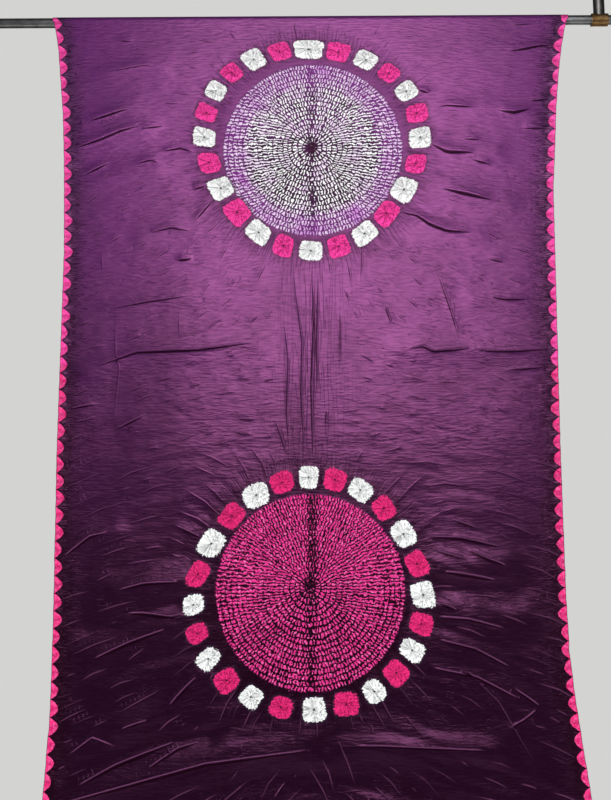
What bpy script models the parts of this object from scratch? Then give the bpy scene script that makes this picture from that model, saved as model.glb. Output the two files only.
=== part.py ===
"""A tie-dyed cloth hanging over a steel rod, with the two hangers that carry the rod.

Metres, +Z up. The origin is on the ceiling, straight above the rod's axis and the cloth's
centre line. The cloth's dyed face looks along -Y, and +X is to the viewer's right.
Depths are measured down from the rod's top line, along the hanging cloth.
"""

import math
from collections import namedtuple

import bmesh
import bpy
from mathutils import Vector

# Rod and hangers
ROD_RADIUS = 0.0095
ROD_DROP = 0.075            # ceiling to the rod's axis
ROD_LEFT_END = -0.690
ROD_RIGHT_END = 0.606
HANGER_X = {"right": 0.5655, "left": -0.650}
RING_LENGTH = 0.032
RING_WALL = 0.0028
STEM_RADIUS = 0.011
STEM_FOOT_RISE = 0.005      # the stem's foot reaches down to here above the rod's axis
PLATE_RADIUS = 0.030
PLATE_THICKNESS = 0.004
PLATE_BEVEL = 0.001
TOUCHING_GAP = 0.0003       # kept between meshes that touch
ROD_SIDES = 32
RING_SIDES = 40
STEM_SIDES = 32
SHARP_DEGREES = 40.0        # edges sharper than this stay crisp

# Cloth
CLOTH_THICKNESS = 0.0015
ROD_WRAP_GAP = 0.0005       # cloth to rod, so that the facets of both keep apart
FRONT_FALL = 1.534          # depth of the front hem
BACK_FALL = 0.145           # depth of the back hem
WRAP_STEPS = 8              # rows round the top half of the rod
FRONT_ROWS = 52
BACK_ROWS = 3
HALF_COLUMNS = 21           # columns on each side of the centre line
COLUMN_CROWDING = 1.35      # above 1, columns stand closer near the centre line

# The cloth's two edges by depth: it is widest on the rod, and drawn in below
Selvedge = namedtuple("Selvedge", "depth left right")
SELVEDGES = (
    Selvedge(0.00, -0.510, 0.503),
    Selvedge(0.03, -0.503, 0.495),
    Selvedge(0.07, -0.496, 0.487),
    Selvedge(0.12, -0.491, 0.480),
    Selvedge(0.20, -0.483, 0.472),
    Selvedge(0.28, -0.478, 0.467),
    Selvedge(0.36, -0.475, 0.461),
    Selvedge(0.48, -0.471, 0.460),
    Selvedge(0.86, -0.471, 0.456),
    Selvedge(1.11, -0.467, 0.456),
    Selvedge(1.22, -0.466, 0.458),
    Selvedge(1.29, -0.466, 0.464),
    Selvedge(1.36, -0.467, 0.472),
    Selvedge(1.48, -0.472, 0.487),
    Selvedge(1.54, -0.475, 0.492),
)

# The two tied discs, each inside a ring of tied patches
DISC_DEPTHS = (0.275, 1.114)
Ripple = namedtuple("Ripple", "radius half_width height")
DISC_RIPPLES = (
    Ripple(0.000, 0.045, -0.0060),      # the gathered middle is drawn back
    Ripple(0.110, 0.050, 0.0025),
    Ripple(0.178, 0.014, -0.0025),      # the stitched rim
    Ripple(0.206, 0.018, 0.0045),       # the tied patches stand forward
    Ripple(0.240, 0.020, -0.0030),
)

# Folds run along a path of (x, depth) points. A height above zero is a ridge towards the
# viewer, and one below zero is a trough.
Fold = namedtuple("Fold", "height half_width path")
FOLDS = (
    # beside and above the upper disc
    Fold(0.0060, 0.020, ((-0.402, 0.119), (-0.327, 0.105), (-0.290, 0.110))),
    Fold(0.0085, 0.022, ((-0.440, 0.222), (-0.400, 0.208), (-0.350, 0.192))),
    Fold(0.0095, 0.024, ((-0.462, 0.278), (-0.406, 0.254), (-0.325, 0.228))),
    Fold(-0.0060, 0.022, ((-0.440, 0.310), (-0.360, 0.285), (-0.260, 0.270))),
    Fold(0.0065, 0.024, ((-0.440, 0.345), (-0.380, 0.325), (-0.300, 0.318))),
    Fold(0.0060, 0.022, ((-0.320, 0.450), (-0.268, 0.432), (-0.220, 0.435))),
    Fold(0.0060, 0.020, ((0.375, 0.080), (0.413, 0.072), (0.475, 0.064))),
    Fold(0.0080, 0.022, ((0.240, 0.195), (0.300, 0.190), (0.425, 0.203))),
    Fold(0.0090, 0.024, ((0.225, 0.262), (0.262, 0.278), (0.350, 0.286))),
    Fold(-0.0060, 0.022, ((0.260, 0.315), (0.350, 0.325), (0.430, 0.318))),
    Fold(0.0080, 0.024, ((0.235, 0.352), (0.300, 0.366), (0.370, 0.386))),
    Fold(0.0085, 0.022, ((0.160, 0.420), (0.220, 0.430), (0.310, 0.446))),
    # upright pleats between the discs
    Fold(0.0090, 0.016, ((-0.034, 0.520), (-0.022, 0.660), (-0.016, 0.880))),
    Fold(-0.0080, 0.013, ((0.000, 0.510), (0.000, 0.890))),
    Fold(0.0085, 0.015, ((0.022, 0.515), (0.020, 0.760), (0.014, 0.890))),
    Fold(-0.0060, 0.016, ((-0.060, 0.590), (-0.052, 0.760), (-0.048, 0.880))),
    Fold(0.0060, 0.020, ((0.068, 0.500), (0.062, 0.620), (0.058, 0.740))),
    Fold(-0.0040, 0.022, ((0.105, 0.480), (0.098, 0.700))),
    Fold(0.0040, 0.026, ((-0.105, 0.500), (-0.098, 0.780))),
    # the old fold across the middle, and what stands beside it
    Fold(0.0075, 0.022, ((-0.415, 0.712), (-0.330, 0.680), (-0.210, 0.674), (-0.105, 0.662))),
    Fold(0.0080, 0.022, ((0.165, 0.672), (0.240, 0.678), (0.340, 0.676), (0.450, 0.672))),
    Fold(-0.0055, 0.020, ((-0.372, 0.560), (-0.364, 0.700), (-0.364, 0.850))),
    Fold(0.0050, 0.030, ((-0.250, 0.560), (-0.252, 0.760))),
    Fold(-0.0050, 0.024, ((0.232, 0.515), (0.262, 0.600), (0.280, 0.660))),
    Fold(0.0045, 0.024, ((0.310, 0.574), (0.440, 0.580))),
    Fold(0.0050, 0.024, ((-0.380, 0.590), (-0.310, 0.580), (-0.225, 0.568))),
    # beside the lower disc
    Fold(0.0070, 0.024, ((-0.450, 1.055), (-0.400, 1.022), (-0.360, 1.012))),
    Fold(0.0075, 0.026, ((-0.350, 1.120), (-0.235, 1.102))),
    Fold(0.0070, 0.026, ((-0.335, 1.162), (-0.240, 1.162))),
    Fold(-0.0055, 0.024, ((-0.400, 1.190), (-0.250, 1.140))),
    Fold(0.0075, 0.026, ((-0.392, 1.242), (-0.331, 1.213), (-0.260, 1.186))),
    Fold(0.0095, 0.026, ((0.235, 1.072), (0.350, 1.073))),
    Fold(-0.0060, 0.022, ((0.240, 1.110), (0.370, 1.118))),
    Fold(0.0065, 0.026, ((0.228, 1.142), (0.300, 1.162), (0.370, 1.170))),
    # swags below the lower disc
    Fold(0.0100, 0.030, ((-0.440, 1.478), (-0.318, 1.445), (-0.187, 1.410), (-0.007, 1.386))),
    Fold(-0.0075, 0.024, ((-0.430, 1.440), (-0.300, 1.400), (-0.190, 1.372))),
    Fold(0.0080, 0.024, ((-0.335, 1.360), (-0.260, 1.322), (-0.200, 1.268))),
    Fold(0.0075, 0.024, ((0.060, 1.389), (0.175, 1.393), (0.320, 1.396))),
    Fold(0.0090, 0.032, ((0.200, 1.235), (0.290, 1.330), (0.390, 1.450))),
    Fold(-0.0070, 0.026, ((0.270, 1.240), (0.350, 1.350), (0.440, 1.430))),
    Fold(0.0080, 0.022, ((0.352, 1.288), (0.402, 1.321), (0.350, 1.360))),
    Fold(-0.0080, 0.034, ((-0.100, 1.440), (0.120, 1.455), (0.260, 1.500))),
)

# Slow waves across the whole fall, deeper towards the free hem
Wave = namedtuple("Wave", "height length_x length_z phase")
WAVES = (
    Wave(0.0050, 0.61, 2.30, 0.4),
    Wave(0.0032, 0.34, -1.70, 2.1),
    Wave(0.0022, 0.21, 0.90, 4.0),
)
SMOOTH_TO = 0.020           # the cloth lies even on the rod down to here
FULL_FOLDS_FROM = 0.110     # and its folds reach their height here
HEM_FLARE = 0.012           # the front hem swings forward by this much
HEM_FLARE_FROM = 1.25


def smooth_step(value, low, high):
    t = min(max((value - low) / (high - low), 0.0), 1.0)
    return t * t * (3.0 - 2.0 * t)


def selvedge_at(depth):
    """Left and right edge of the cloth at a depth."""
    for above, below in zip(SELVEDGES, SELVEDGES[1:]):
        if depth <= below.depth:
            share = (depth - above.depth) / (below.depth - above.depth)
            share = max(share, 0.0)
            return (above.left + share * (below.left - above.left),
                    above.right + share * (below.right - above.right))
    return SELVEDGES[-1].left, SELVEDGES[-1].right


def distance_to_path(x, depth, path):
    """Shortest way from a point of the cloth to a fold's path."""
    nearest = math.inf
    for (start_x, start_depth), (end_x, end_depth) in zip(path, path[1:]):
        run_x, run_depth = end_x - start_x, end_depth - start_depth
        along = (x - start_x) * run_x + (depth - start_depth) * run_depth
        along = min(max(along / (run_x ** 2 + run_depth ** 2), 0.0), 1.0)
        away = math.hypot(x - start_x - along * run_x, depth - start_depth - along * run_depth)
        nearest = min(nearest, away)
    return nearest


def front_relief(x, depth):
    """How far the front fall stands forward of the plane it hangs in."""
    relief = 0.0
    for wave in WAVES:
        turn = 2.0 * math.pi * (x / wave.length_x + depth / wave.length_z) + wave.phase
        relief += wave.height * (0.5 + 0.5 * math.sin(turn)) * (0.35 + 0.65 * depth / FRONT_FALL)
    for fold in FOLDS:
        away = distance_to_path(x, depth, fold.path) / fold.half_width
        if away < 3.0:
            relief += fold.height * math.exp(-away * away)
    for disc_depth in DISC_DEPTHS:
        radius = math.hypot(x, depth - disc_depth)
        for ripple in DISC_RIPPLES:
            away = (radius - ripple.radius) / ripple.half_width
            if abs(away) < 3.0:
                relief += ripple.height * math.exp(-away * away)
    relief *= smooth_step(depth, SMOOTH_TO, FULL_FOLDS_FROM)
    return relief + HEM_FLARE * smooth_step(depth, HEM_FLARE_FROM, FRONT_FALL)


def back_relief(x, depth):
    """Small free ripples of the short fall behind the rod."""
    ripple = 0.003 + 0.003 * math.sin(2.0 * math.pi * x / 0.23 + 1.0)
    return ripple * smooth_step(depth, SMOOTH_TO, BACK_FALL)


def cloth_point(share, row_depth, side):
    """A point on the cloth's middle surface.

    share runs from 0 at the left edge to 1 at the right. side is "front", "back" or, on the
    rod, the angle in radians from the front tangent over the top.
    """
    wrap_radius = ROD_RADIUS + ROD_WRAP_GAP + CLOTH_THICKNESS / 2.0
    if side in ("front", "back"):
        left, right = selvedge_at(row_depth)
    else:
        left, right = selvedge_at(0.0)
    x = left + share * (right - left)
    if side == "front":
        return Vector((x, -wrap_radius - front_relief(x, row_depth),
                       -ROD_DROP + ROD_RADIUS - row_depth))
    if side == "back":
        return Vector((x, wrap_radius + back_relief(x, row_depth),
                       -ROD_DROP + ROD_RADIUS - row_depth))
    return Vector((x, -wrap_radius * math.cos(side), -ROD_DROP + wrap_radius * math.sin(side)))


def column_shares():
    """Places of the columns across the cloth, closer together near the centre line."""
    shares = []
    for column in range(-HALF_COLUMNS, HALF_COLUMNS + 1):
        away = abs(column) / HALF_COLUMNS
        shares.append(0.5 + 0.5 * math.copysign(away ** COLUMN_CROWDING, column))
    return shares


def cloth_rows():
    """Rows of the cloth from the back hem, over the rod, to the front hem."""
    rod_side_depth = ROD_RADIUS
    rows = []
    for step in range(BACK_ROWS):
        share = step / BACK_ROWS
        rows.append((BACK_FALL + share * (rod_side_depth - BACK_FALL), "back"))
    for step in range(WRAP_STEPS + 1):
        rows.append((0.0, math.pi * (1.0 - step / WRAP_STEPS)))
    for step in range(1, FRONT_ROWS + 1):
        share = step / FRONT_ROWS
        rows.append((rod_side_depth + share * (FRONT_FALL - rod_side_depth), "front"))
    return rows


def material(name, colour, roughness, metallic=0.0):
    made = bpy.data.materials.new(name)
    made.use_nodes = True
    shader = made.node_tree.nodes["Principled BSDF"]
    shader.inputs["Base Color"].default_value = (*colour, 1.0)
    shader.inputs["Roughness"].default_value = roughness
    shader.inputs["Metallic"].default_value = metallic
    return made


def add_object(name, mesh, finish, location=(0.0, 0.0, 0.0)):
    made = bpy.data.objects.new(name, mesh)
    bpy.context.scene.collection.objects.link(made)
    made.location = location
    if finish is not None:
        mesh.materials.append(finish)
    return made


def cylinder_mesh(name, radius, length, sides, along):
    """A closed cylinder centred on the origin, along "X" or "Z"."""
    shell = bmesh.new()
    bmesh.ops.create_cone(shell, cap_ends=True, segments=sides, radius1=radius, radius2=radius,
                          depth=length)
    if along == "X":
        for vert in shell.verts:
            vert.co = Vector((vert.co.z, vert.co.y, -vert.co.x))
    mesh = bpy.data.meshes.new(name)
    shell.to_mesh(mesh)
    shell.free()
    return mesh


def build_cloth():
    finish = material("dyed_satin", (0.075, 0.016, 0.078), 0.5)
    sheet = bmesh.new()
    shares = column_shares()
    grid = []
    for row_depth, side in cloth_rows():
        grid.append([sheet.verts.new(cloth_point(share, row_depth, side)) for share in shares])
    for upper, lower in zip(grid, grid[1:]):
        for column in range(len(shares) - 1):
            sheet.faces.new((upper[column], lower[column], lower[column + 1], upper[column + 1]))
    mesh = bpy.data.meshes.new("cloth")
    sheet.to_mesh(mesh)
    sheet.free()
    cloth = add_object("cloth", mesh, finish)
    solid = cloth.modifiers.new("thickness", "SOLIDIFY")
    solid.thickness = CLOTH_THICKNESS
    solid.offset = 0.0
    solid.use_even_offset = True
    mesh.shade_smooth()
    return cloth


def build_rod():
    finish = material("zinc_plated_steel", (0.52, 0.52, 0.53), 0.35, 1.0)
    length = ROD_RIGHT_END - ROD_LEFT_END
    middle = (ROD_RIGHT_END + ROD_LEFT_END) / 2.0
    mesh = cylinder_mesh("rod", ROD_RADIUS, length, ROD_SIDES, "X")
    mesh.shade_smooth()
    mesh.set_sharp_from_angle(angle=math.radians(SHARP_DEGREES))
    return add_object("rod", mesh, finish, (middle, 0.0, -ROD_DROP))


def facet_radius(clear_radius, sides):
    """Corner radius of a many-sided round whose flats still clear a smaller round."""
    return clear_radius / math.cos(math.pi / sides)


def build_ring(side, finish):
    """Brass ring that the rod rests in."""
    inner = facet_radius(ROD_RADIUS + TOUCHING_GAP, RING_SIDES)
    outer = inner + RING_WALL
    half = RING_LENGTH / 2.0
    profile = ((-half, inner), (-half, outer), (half, outer), (half, inner))
    ring = bmesh.new()
    loops = []
    for step in range(RING_SIDES):
        angle = 2.0 * math.pi * step / RING_SIDES
        loops.append([ring.verts.new((x, radius * math.cos(angle), radius * math.sin(angle)))
                      for x, radius in profile])
    for step in range(RING_SIDES):
        here, after = loops[step], loops[(step + 1) % RING_SIDES]
        for corner in range(len(profile)):
            beside = (corner + 1) % len(profile)
            ring.faces.new((here[corner], here[beside], after[beside], after[corner]))
    bmesh.ops.recalc_face_normals(ring, faces=ring.faces)
    name = "hanger_%s_ring" % side
    mesh = bpy.data.meshes.new(name)
    ring.to_mesh(mesh)
    ring.free()
    mesh.shade_smooth()
    mesh.set_sharp_from_angle(angle=math.radians(SHARP_DEGREES))
    return add_object(name, mesh, finish, (HANGER_X[side], 0.0, -ROD_DROP))


def build_stem(side, finish):
    """Round stem with a ceiling plate, its foot hollowed to sit on the ring."""
    foot_z = -ROD_DROP + STEM_FOOT_RISE
    profile = (
        (0.0, 0.0), (PLATE_RADIUS - PLATE_BEVEL, 0.0), (PLATE_RADIUS, -PLATE_BEVEL),
        (PLATE_RADIUS, -PLATE_THICKNESS), (STEM_RADIUS, -PLATE_THICKNESS),
        (STEM_RADIUS, foot_z), (0.0, foot_z),
    )
    turned = bmesh.new()
    corners = [turned.verts.new((radius, 0.0, z)) for radius, z in profile]
    for upper, lower in zip(corners, corners[1:]):
        turned.edges.new((upper, lower))
    bmesh.ops.spin(turned, geom=turned.verts[:] + turned.edges[:], cent=(0, 0, 0), axis=(0, 0, 1),
                   angle=2.0 * math.pi, steps=STEM_SIDES, use_merge=True)
    bmesh.ops.remove_doubles(turned, verts=turned.verts, dist=1e-6)
    bmesh.ops.recalc_face_normals(turned, faces=turned.faces)
    name = "hanger_%s_stem" % side
    mesh = bpy.data.meshes.new(name)
    turned.to_mesh(mesh)
    turned.free()
    stem = add_object(name, mesh, finish, (HANGER_X[side], 0.0, 0.0))

    ring_outer = facet_radius(ROD_RADIUS + TOUCHING_GAP, RING_SIDES) + RING_WALL
    hollow_radius = facet_radius(ring_outer + TOUCHING_GAP, RING_SIDES)
    cutter_mesh = cylinder_mesh(name + "_hollow", hollow_radius, 4 * STEM_RADIUS, RING_SIDES, "X")
    cutter = add_object(name + "_hollow", cutter_mesh, None, (HANGER_X[side], 0.0, -ROD_DROP))
    cutter.hide_render = True
    cutter.display_type = "WIRE"
    hollow = stem.modifiers.new("foot", "BOOLEAN")
    hollow.operation = "DIFFERENCE"
    hollow.object = cutter
    mesh.shade_smooth()
    mesh.set_sharp_from_angle(angle=math.radians(SHARP_DEGREES))
    return stem


def main():
    for old in list(bpy.data.objects):
        bpy.data.objects.remove(old, do_unlink=True)
    build_cloth()
    build_rod()
    brass = material("brass", (0.62, 0.42, 0.24), 0.35, 1.0)
    steel = material("grey_steel", (0.34, 0.33, 0.33), 0.4, 1.0)
    for side in HANGER_X:
        build_ring(side, brass)
        build_stem(side, steel)


main()
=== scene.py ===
# %% [markdown]
# # A tie-dyed cloth over a rod
# The piece is one length of soft satin, patterned by tying and stitching before it was dyed,
# and thrown over a steel rod that hangs from the ceiling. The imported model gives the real
# sizes and places. This lesson dresses it: the cloth becomes a fine sheet with its folds,
# creases and puckers, its dye pattern is worked out by a material, and the metal parts get
# finishes of their own.

# %% Load the model
import math
from collections import namedtuple

import bpy
import numpy as np
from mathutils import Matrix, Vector


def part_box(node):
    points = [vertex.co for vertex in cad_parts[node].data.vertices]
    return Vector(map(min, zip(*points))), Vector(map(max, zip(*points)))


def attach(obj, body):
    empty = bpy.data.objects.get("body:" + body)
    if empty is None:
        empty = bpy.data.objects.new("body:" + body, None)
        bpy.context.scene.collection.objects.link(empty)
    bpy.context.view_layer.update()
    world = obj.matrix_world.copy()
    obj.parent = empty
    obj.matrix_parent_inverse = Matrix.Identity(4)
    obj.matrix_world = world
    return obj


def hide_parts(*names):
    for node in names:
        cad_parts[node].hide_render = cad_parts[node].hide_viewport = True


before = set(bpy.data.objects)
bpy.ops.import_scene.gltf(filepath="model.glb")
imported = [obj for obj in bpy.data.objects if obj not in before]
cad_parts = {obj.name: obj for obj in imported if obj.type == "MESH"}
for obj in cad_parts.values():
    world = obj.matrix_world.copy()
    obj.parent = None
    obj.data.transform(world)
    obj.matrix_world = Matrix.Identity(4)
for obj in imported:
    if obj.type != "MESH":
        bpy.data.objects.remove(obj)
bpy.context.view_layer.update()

print("nodes:", ", ".join(sorted(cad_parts)))

# %% [markdown]
# ## The camera
# The photograph looks slightly up at a cloth that hangs upright. Two of its measures fix the
# camera: the scale at the middle of the frame, and how fast that scale shrinks upwards. The
# shrink gives the tilt, and the scale then gives the distance. The rod climbs a little to the
# right in the photograph, which a camera a little to the right of square also gives.

# %% Place the camera
IMAGE_HEIGHT = 800
FOCAL_PIXELS = 1212.0
SENSOR_MM = 36.0
TILT = math.radians(9.94)
YAW = math.radians(0.68)
PIXELS_PER_METRE = 540.0          # on the cloth, at the middle of the frame
ROD_RADIUS = 0.0095
ROD_AXIS_Z = (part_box("rod")[0].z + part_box("rod")[1].z) / 2.0
ROD_TOP_Z = ROD_AXIS_Z + ROD_RADIUS
AIM_DEPTH = 0.7690                # the middle of the frame lies this far below the rod's top
AIM_X = -0.012
CLOTH_FRONT_Y = -0.014

distance = FOCAL_PIXELS * math.cos(TILT) / PIXELS_PER_METRE
aim = Vector((AIM_X, CLOTH_FRONT_Y, ROD_TOP_Z - AIM_DEPTH))
camera_data = bpy.data.cameras.new("camera")
camera_data.sensor_width = SENSOR_MM
camera_data.lens = FOCAL_PIXELS * SENSOR_MM / IMAGE_HEIGHT
camera = bpy.data.objects.new("camera", camera_data)
camera.location = aim + Vector((distance * math.sin(YAW), -distance * math.cos(YAW),
                                -distance * math.tan(TILT)))
camera.rotation_euler = (aim - camera.location).to_track_quat("-Z", "Y").to_euler()
bpy.context.scene.collection.objects.link(camera)
bpy.context.scene.camera = camera
print("camera %.2f m from the cloth, lens %.1f mm" % (distance, camera_data.lens))

# %% [markdown]
# ## The sheet's outline
# The cloth is widest where the rod holds it flat, and narrower below, where tying has
# puckered it. A table gives both edges by depth below the rod's top. Columns stand close
# together over the discs and along the edges, and rows stand close together everywhere,
# because nearly every crease of this cloth runs across it.

# %% Lay out rows and columns
# each row in millimetres: depth below the rod's top, then the left and the right edge
SELVEDGES = (
    (0, -510, 503),
    (30, -503, 495),
    (70, -496, 487),
    (120, -491, 480),
    (200, -483, 472),
    (280, -478, 467),
    (360, -475, 461),
    (480, -471, 460),
    (860, -471, 456),
    (1110, -467, 456),
    (1220, -466, 458),
    (1290, -466, 464),
    (1360, -467, 472),
    (1480, -472, 487),
    (1540, -475, 492),
)
FRONT_FALL = 1.534
BACK_FALL = 0.145
WRAP_RADIUS = ROD_RADIUS + 0.00125     # the solid's middle surface, round the rod
FRONT_STEPS = 424
WRAP_STEPS = 12
BACK_STEPS = 15

Zone = namedtuple("Zone", "start end columns")
HALF_ZONES = (
    Zone(0.000, 0.490, 69),            # over the discs, in shares of the half width
    Zone(0.490, 0.930, 27),
    Zone(0.930, 1.000, 10),            # along the scalloped border
)

half = np.concatenate([np.linspace(zone.start, zone.end, zone.columns, endpoint=False)
                       for zone in HALF_ZONES] + [[1.0]])
column_share = 0.5 + 0.5 * np.concatenate([-half[:0:-1], half])

back_depth = np.linspace(BACK_FALL, ROD_RADIUS, BACK_STEPS, endpoint=False)
wrap_angle = np.linspace(math.pi, 0.0, WRAP_STEPS + 1)
front_depth = np.linspace(ROD_RADIUS, FRONT_FALL, FRONT_STEPS + 1)[1:]

# the way along the cloth, zero at the rod's top line and counted on down the front
row_run = np.concatenate([
    ROD_RADIUS - math.pi * WRAP_RADIUS - (back_depth - ROD_RADIUS),
    ROD_RADIUS - wrap_angle * WRAP_RADIUS,
    front_depth,
])
row_depth = np.concatenate([back_depth, np.zeros_like(wrap_angle), front_depth])
edge_depth, left_edge, right_edge = np.array(SELVEDGES).T / 1000.0
row_left = np.interp(row_depth, edge_depth, left_edge)
row_right = np.interp(row_depth, edge_depth, right_edge)
X = row_left[:, None] + column_share[None, :] * (row_right - row_left)[:, None]
RUN = np.repeat(row_run[:, None], len(column_share), axis=1)
DEPTH = np.repeat(row_depth[:, None], len(column_share), axis=1)
EDGE = np.minimum(X - row_left[:, None], row_right[:, None] - X)
print("sheet of %d rows and %d columns" % X.shape)

# %% [markdown]
# ## Main folds
# The solid in the model already hangs in the photograph's main folds. The sheet follows the
# same rule, written again here for whole arrays of points. Each fold is a soft ridge or
# trough along a path of (x, depth) points.

# %% Folds shared with the solid
# each row in millimetres: height, half width, and the points of the path
FOLD_ROWS = (
    # beside and above the upper disc
    (6, 20, (-402, 119), (-327, 105), (-290, 110)),
    (8.5, 22, (-440, 222), (-400, 208), (-350, 192)),
    (9.5, 24, (-462, 278), (-406, 254), (-325, 228)),
    (-6, 22, (-440, 310), (-360, 285), (-260, 270)),
    (6.5, 24, (-440, 345), (-380, 325), (-300, 318)),
    (6, 22, (-320, 450), (-268, 432), (-220, 435)),
    (6, 20, (375, 80), (413, 72), (475, 64)),
    (8, 22, (240, 195), (300, 190), (425, 203)),
    (9, 24, (225, 262), (262, 278), (350, 286)),
    (-6, 22, (260, 315), (350, 325), (430, 318)),
    (8, 24, (235, 352), (300, 366), (370, 386)),
    (8.5, 22, (160, 420), (220, 430), (310, 446)),
    # upright pleats between the discs
    (9, 16, (-34, 520), (-22, 660), (-16, 880)),
    (-8, 13, (0, 510), (0, 890)),
    (8.5, 15, (22, 515), (20, 760), (14, 890)),
    (-6, 16, (-60, 590), (-52, 760), (-48, 880)),
    (6, 20, (68, 500), (62, 620), (58, 740)),
    (-4, 22, (105, 480), (98, 700)),
    (4, 26, (-105, 500), (-98, 780)),
    # the old fold across the middle, and what stands beside it
    (7.5, 22, (-415, 712), (-330, 680), (-210, 674), (-105, 662)),
    (8, 22, (165, 672), (240, 678), (340, 676), (450, 672)),
    (-5.5, 20, (-372, 560), (-364, 700), (-364, 850)),
    (5, 30, (-250, 560), (-252, 760)),
    (-5, 24, (232, 515), (262, 600), (280, 660)),
    (4.5, 24, (310, 574), (440, 580)),
    (5, 24, (-380, 590), (-310, 580), (-225, 568)),
    # beside the lower disc
    (7, 24, (-450, 1055), (-400, 1022), (-360, 1012)),
    (7.5, 26, (-350, 1120), (-235, 1102)),
    (7, 26, (-335, 1162), (-240, 1162)),
    (-5.5, 24, (-400, 1190), (-250, 1140)),
    (7.5, 26, (-392, 1242), (-331, 1213), (-260, 1186)),
    (9.5, 26, (235, 1072), (350, 1073)),
    (-6, 22, (240, 1110), (370, 1118)),
    (6.5, 26, (228, 1142), (300, 1162), (370, 1170)),
    # swags below the lower disc
    (10, 30, (-440, 1478), (-318, 1445), (-187, 1410), (-7, 1386)),
    (-7.5, 24, (-430, 1440), (-300, 1400), (-190, 1372)),
    (8, 24, (-335, 1360), (-260, 1322), (-200, 1268)),
    (7.5, 24, (60, 1389), (175, 1393), (320, 1396)),
    (9, 32, (200, 1235), (290, 1330), (390, 1450)),
    (-7, 26, (270, 1240), (350, 1350), (440, 1430)),
    (8, 22, (352, 1288), (402, 1321), (350, 1360)),
    (-8, 34, (-100, 1440), (120, 1455), (260, 1500)),
)
Wave = namedtuple("Wave", "height length_x length_z phase")
WAVES = (
    Wave(0.0050, 0.61, 2.30, 0.4),
    Wave(0.0032, 0.34, -1.70, 2.1),
    Wave(0.0022, 0.21, 0.90, 4.0),
)
Ripple = namedtuple("Ripple", "radius half_width height")
DISC_RIPPLES = (
    Ripple(0.000, 0.045, -0.0060),
    Ripple(0.110, 0.050, 0.0025),
    Ripple(0.178, 0.014, -0.0025),
    Ripple(0.206, 0.018, 0.0045),
    Ripple(0.240, 0.020, -0.0030),
)
SOLID_DISC_DEPTHS = (0.275, 1.114)
SMOOTH_TO = 0.020
FULL_FOLDS_FROM = 0.110
HEM_FLARE = 0.012
HEM_FLARE_FROM = 1.25
UPRIGHT_SHARE = 0.25              # upright folds are pulled nearly flat by the weight below
RIPPLE_SHARE = 0.15


def in_metres(path):
    return [(x / 1000.0, depth / 1000.0) for x, depth in path]


def smooth_step(value, low, high):
    t = np.clip((value - low) / (high - low), 0.0, 1.0)
    return t * t * (3.0 - 2.0 * t)


def distance_to_path(x, depth, path):
    nearest = np.full(x.shape, np.inf)
    for (start_x, start_depth), (end_x, end_depth) in zip(path, path[1:]):
        run_x, run_depth = end_x - start_x, end_depth - start_depth
        along = (x - start_x) * run_x + (depth - start_depth) * run_depth
        along = np.clip(along / (run_x ** 2 + run_depth ** 2), 0.0, 1.0)
        away = np.hypot(x - start_x - along * run_x, depth - start_depth - along * run_depth)
        nearest = np.minimum(nearest, away)
    return nearest


Fold = namedtuple("Fold", "height half_width path")
FOLDS = [Fold(height / 1000.0, half_width / 1000.0, in_metres(path))
         for height, half_width, *path in FOLD_ROWS]


def main_relief(x, depth):
    relief = np.zeros_like(x)
    for wave in WAVES:
        turn = 2.0 * np.pi * (x / wave.length_x + depth / wave.length_z) + wave.phase
        relief += wave.height * (0.5 + 0.5 * np.sin(turn)) * (0.35 + 0.65 * depth / FRONT_FALL)
    for fold in FOLDS:
        away = distance_to_path(x, depth, fold.path) / fold.half_width
        (start_x, start_depth), (end_x, end_depth) = fold.path[0], fold.path[-1]
        is_upright = abs(end_depth - start_depth) > abs(end_x - start_x)
        relief += (UPRIGHT_SHARE if is_upright else 1.0) * fold.height * np.exp(-away * away)
    for disc_depth in SOLID_DISC_DEPTHS:
        radius = np.hypot(x, depth - disc_depth)
        for ripple in DISC_RIPPLES:
            away = (radius - ripple.radius) / ripple.half_width
            relief += RIPPLE_SHARE * ripple.height * np.exp(-away * away)
    relief *= smooth_step(depth, SMOOTH_TO, FULL_FOLDS_FROM)
    return relief + HEM_FLARE * smooth_step(depth, HEM_FLARE_FROM, FRONT_FALL)


# the weight below pulls the upper cloth flatter, and creases of its own carry the rest
FOLD_SHARE = 0.20 + 0.50 * smooth_step(DEPTH, 0.50, 1.15)
RELIEF = FOLD_SHARE * main_relief(X, DEPTH)
print("main folds stand up to %.1f mm forward" % (1000 * RELIEF.max()))

# %% [markdown]
# ## Where the pattern lies
# The maker folded the cloth along its centre line and gathered each disc in rings of
# stitches, so the two halves of a disc mirror each other. Every point gets its place in the
# nearer disc: which ring it falls in, and its angle from the level line. Round each disc the
# maker tied 24 small patches, white and pink in turn. They drift from a true circle, which a
# few slow sine terms follow.

# %% Place every point in its disc and its patch
Disc = namedtuple("Disc", "x depth radius rim_cos rim_cos2 rim_sin ring turn")
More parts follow.
